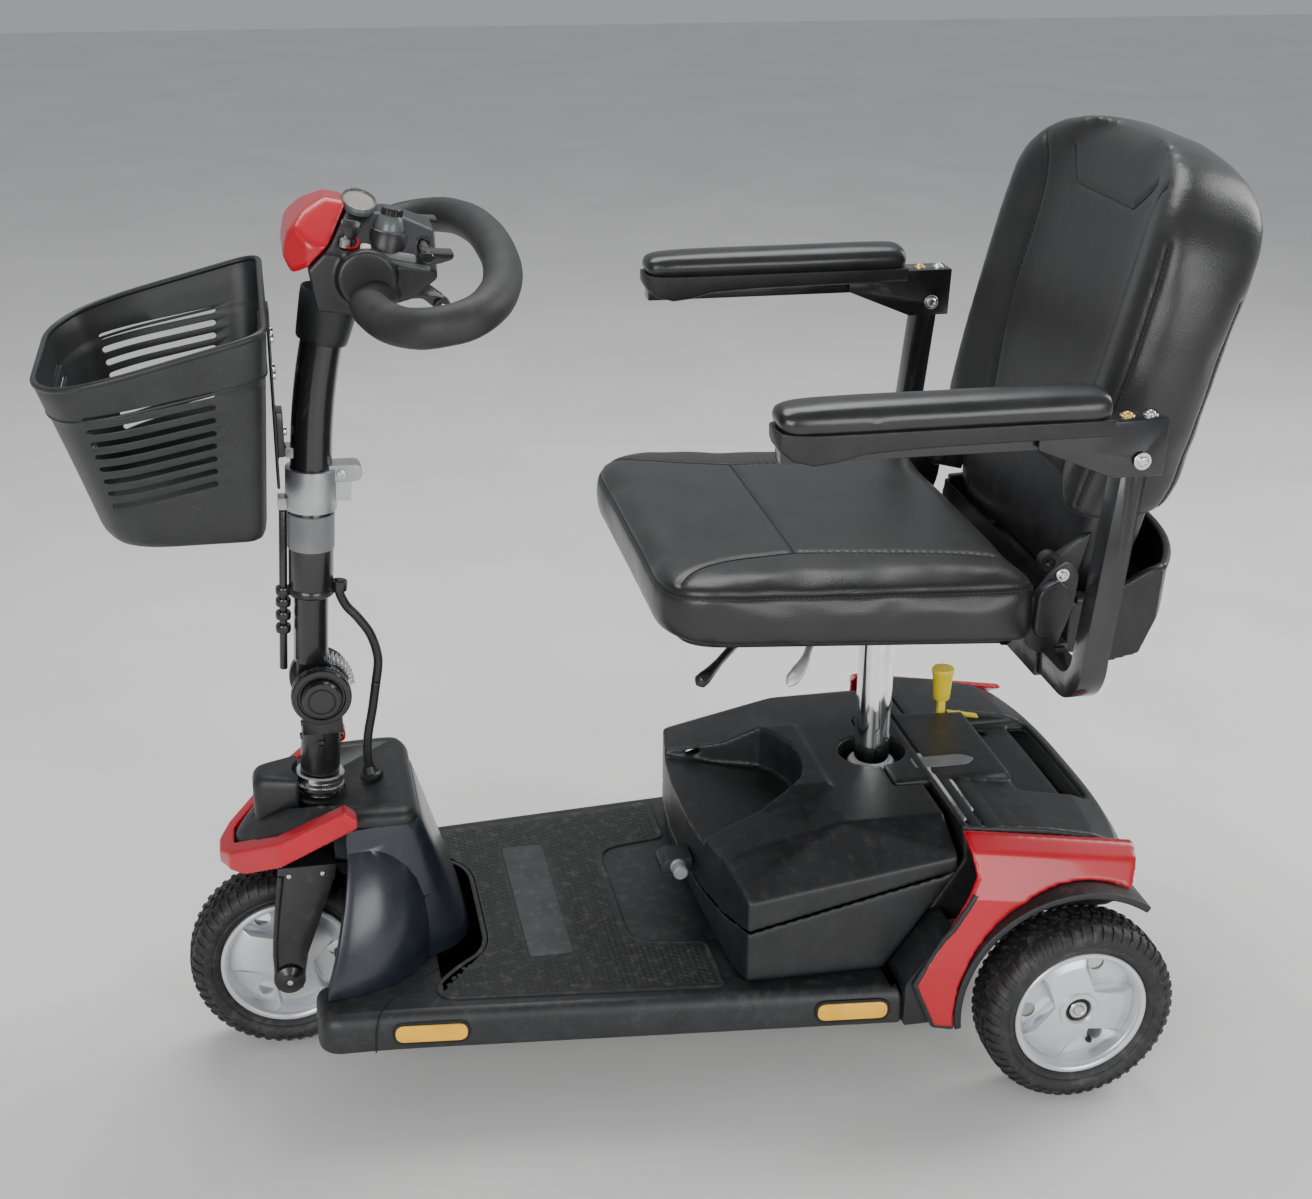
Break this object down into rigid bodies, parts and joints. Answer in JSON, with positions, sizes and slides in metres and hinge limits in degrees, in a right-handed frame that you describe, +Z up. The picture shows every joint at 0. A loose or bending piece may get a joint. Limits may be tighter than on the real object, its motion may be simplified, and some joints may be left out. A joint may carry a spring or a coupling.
{
  "type": "three-wheel mobility scooter",
  "caption": "Powered three-wheel travel scooter with a swivelling padded seat, lift-up armrests, a steering tiller with a loop handlebar and a front basket.",
  "frame": {"origin": "on the floor, at the middle of the whole scooter's bounding box", "axes": "+X towards the rear, so the rider faces -X; +Y towards the rider's right; +Z up"},
  "size_m": [1.1265, 0.632, 0.951],
  "materials": {
    "frame_paint": "satin black",
    "deck_plastic": "textured black",
    "mat_rubber": "embossed dark grey",
    "reflector": "amber lens",
    "shroud_gloss": "gloss blue-black",
    "body_plastic": "fine grain black",
    "red_gloss": "gloss red",
    "bare_steel": "brushed",
    "drive_metal": "cast",
    "battery_case": "satin dark grey",
    "latch_grey": "satin grey",
    "ring_white": "white",
    "cable_jacket": "black jacket",
    "tyre_rubber": "black",
    "rim_silver": "silver paint",
    "tube_black": "gloss black",
    "clamp_grey": "satin grey",
    "console_black": "satin black",
    "bar_foam": "soft grey-black",
    "basket_plastic": "matt black",
    "knob_grey": "satin grey",
    "button_yellow": "yellow",
    "post_chrome": "polished",
    "seat_vinyl": "grained black vinyl",
    "seat_plastic": "grained black",
    "arm_vinyl": "moulded black vinyl",
    "lever_black": "black",
    "lever_steel": "zinc with pale sleeve",
    "lever_yellow": "yellow"
  },
  "bodies": {
    "chassis": {"main_frame": "frame_paint", "deck_shell": "deck_plastic", "deck_mat": "mat_rubber", "side_reflectors": "reflector", "shroud_lower": "shroud_gloss", "shroud_upper": "body_plastic", "shroud_trim": "red_gloss", "head_bearings": "bare_steel", "rear_frame": "frame_paint", "drive_unit": "drive_metal", "rear_cover": "body_plastic", "fender_left": "red_gloss", "fender_right": "red_gloss", "wheel_arches": "deck_plastic", "battery_box": "body_plastic", "battery_lid": "body_plastic", "battery_cells": "battery_case", "frame_latch": "latch_grey", "post_collar": "ring_white", "cable_lower": "cable_jacket"},
    "steer_stem": {"fork": "tube_black", "steer_collar": "bare_steel", "tiller_knuckle": "tube_black", "front_axle": "bare_steel"},
    "front_wheel": {"front_tyre": "tyre_rubber", "front_rim": "rim_silver", "front_bearings": "bare_steel"},
    "tiller": {"pivot_disc": "tube_black", "tiller_column": "tube_black", "tiller_clamp": "clamp_grey", "upper_tube": "tube_black", "lock_rod": "bare_steel", "head_boot": "body_plastic", "console_shell": "console_black", "console_cover": "red_gloss", "handlebar": "bar_foam", "basket": "basket_plastic", "basket_bracket": "tube_black", "cable_upper": "cable_jacket"},
    "throttle": {"throttle_lever": "console_black"},
    "speed_dial": {"speed_knob": "knob_grey"},
    "key_switch": {"key": "knob_grey"},
    "horn": {"horn_button": "button_yellow"},
    "rear_wheel_left": {"rear_tyre_left": "tyre_rubber", "rear_rim_left": "rim_silver"},
    "rear_wheel_right": {"rear_tyre_right": "tyre_rubber", "rear_rim_right": "rim_silver"},
    "post": {"seat_post": "post_chrome"},
    "seat": {"seat_frame": "frame_paint", "arm_supports": "tube_black", "seat_cushion": "seat_vinyl", "seat_shell": "seat_plastic"},
    "backrest": {"seat_back": "seat_vinyl"},
    "armrest_left": {"arm_bracket_left": "tube_black", "arm_pad_left": "arm_vinyl"},
    "armrest_right": {"arm_bracket_right": "tube_black", "arm_pad_right": "arm_vinyl"},
    "swivel_handle": {"swivel_lever": "lever_black"},
    "slide_handle": {"slide_lever": "lever_steel"},
    "freewheel": {"freewheel_lever": "lever_yellow"}
  },
  "joints": [
    {"name": "steer", "type": "hinge", "parent": "chassis", "child": "steer_stem", "pos_m": [-0.35789, 0, 0], "axis": [0.0872, 0, 0.9962], "range_deg": [-45, 45], "deforming": ["cable_lower"]},
    {"name": "front_wheel_spin", "type": "hinge", "parent": "steer_stem", "child": "front_wheel", "pos_m": [-0.37528, 0, 0.1016], "axis": [0, 1, 0], "continuous": true},
    {"name": "tiller_fold", "type": "hinge", "parent": "steer_stem", "child": "tiller", "pos_m": [-0.32528, 0, 0.407], "axis": [0, 1, 0], "range_deg": [-15, 5], "deforming": ["cable_upper"]},
    {"name": "throttle_swing", "type": "hinge", "parent": "tiller", "child": "throttle", "pos_m": [-0.20928, 0, 0.858], "axis": [0, 1, 0], "range_deg": [-12, 12], "stiffness_Nm_per_rad": 0.3},
    {"name": "speed_turn", "type": "hinge", "parent": "tiller", "child": "speed_dial", "pos_m": [-0.23728, -0.036, 0.8844], "axis": [0.1961, 0, 0.9806], "range_deg": [0, 270]},
    {"name": "key_turn", "type": "hinge", "parent": "tiller", "child": "key_switch", "pos_m": [-0.27528, -0.05, 0.892], "axis": [0.1961, 0, 0.9806], "range_deg": [0, 90]},
    {"name": "horn_press", "type": "slide", "parent": "tiller", "child": "horn", "axis": [-0.1961, 0, -0.9806], "range_m": [0, 0.002], "stiffness_N_per_m": 300},
    {"name": "rear_wheel_left_spin", "type": "hinge", "parent": "chassis", "child": "rear_wheel_left", "pos_m": [0.40772, -0.243, 0.1016], "axis": [0, 1, 0], "continuous": true},
    {"name": "rear_wheel_right_spin", "type": "hinge", "parent": "chassis", "child": "rear_wheel_right", "pos_m": [0.40772, 0.243, 0.1016], "axis": [0, 1, 0], "continuous": true},
    {"name": "seat_height", "type": "slide", "parent": "chassis", "child": "post", "axis": [0, 0, 1], "range_m": [-0.025, 0.05]},
    {"name": "seat_swivel", "type": "hinge", "parent": "post", "child": "seat", "pos_m": [0.25972, 0, 0.491], "axis": [0, 0, 1], "range_deg": [-90, 90]},
    {"name": "back_fold", "type": "hinge", "parent": "seat", "child": "backrest", "pos_m": [0.37272, 0, 0.557], "axis": [0, -1, 0], "range_deg": [0, 65]},
    {"name": "armrest_left_lift", "type": "hinge", "parent": "seat", "child": "armrest_left", "pos_m": [0.39072, -0.288, 0.705], "axis": [0, 1, 0], "range_deg": [0, 100]},
    {"name": "armrest_right_lift", "type": "hinge", "parent": "seat", "child": "armrest_right", "pos_m": [0.39072, 0.288, 0.705], "axis": [0, 1, 0], "range_deg": [0, 100]},
    {"name": "swivel_lever_lift", "type": "hinge", "parent": "seat", "child": "swivel_handle", "pos_m": [0.08972, -0.11, 0.481], "axis": [-1, 0, 0], "range_deg": [0, 6], "stiffness_Nm_per_rad": 0.5},
    {"name": "slide_lever_lift", "type": "hinge", "parent": "seat", "child": "slide_handle", "pos_m": [0.15972, -0.11, 0.479], "axis": [-1, 0, 0], "range_deg": [0, 6], "stiffness_Nm_per_rad": 0.5},
    {"name": "freewheel_throw", "type": "hinge", "parent": "chassis", "child": "freewheel", "pos_m": [0.36572, 0.08, 0.196], "axis": [0, 1, 0], "range_deg": [0, 25]}
  ]
}
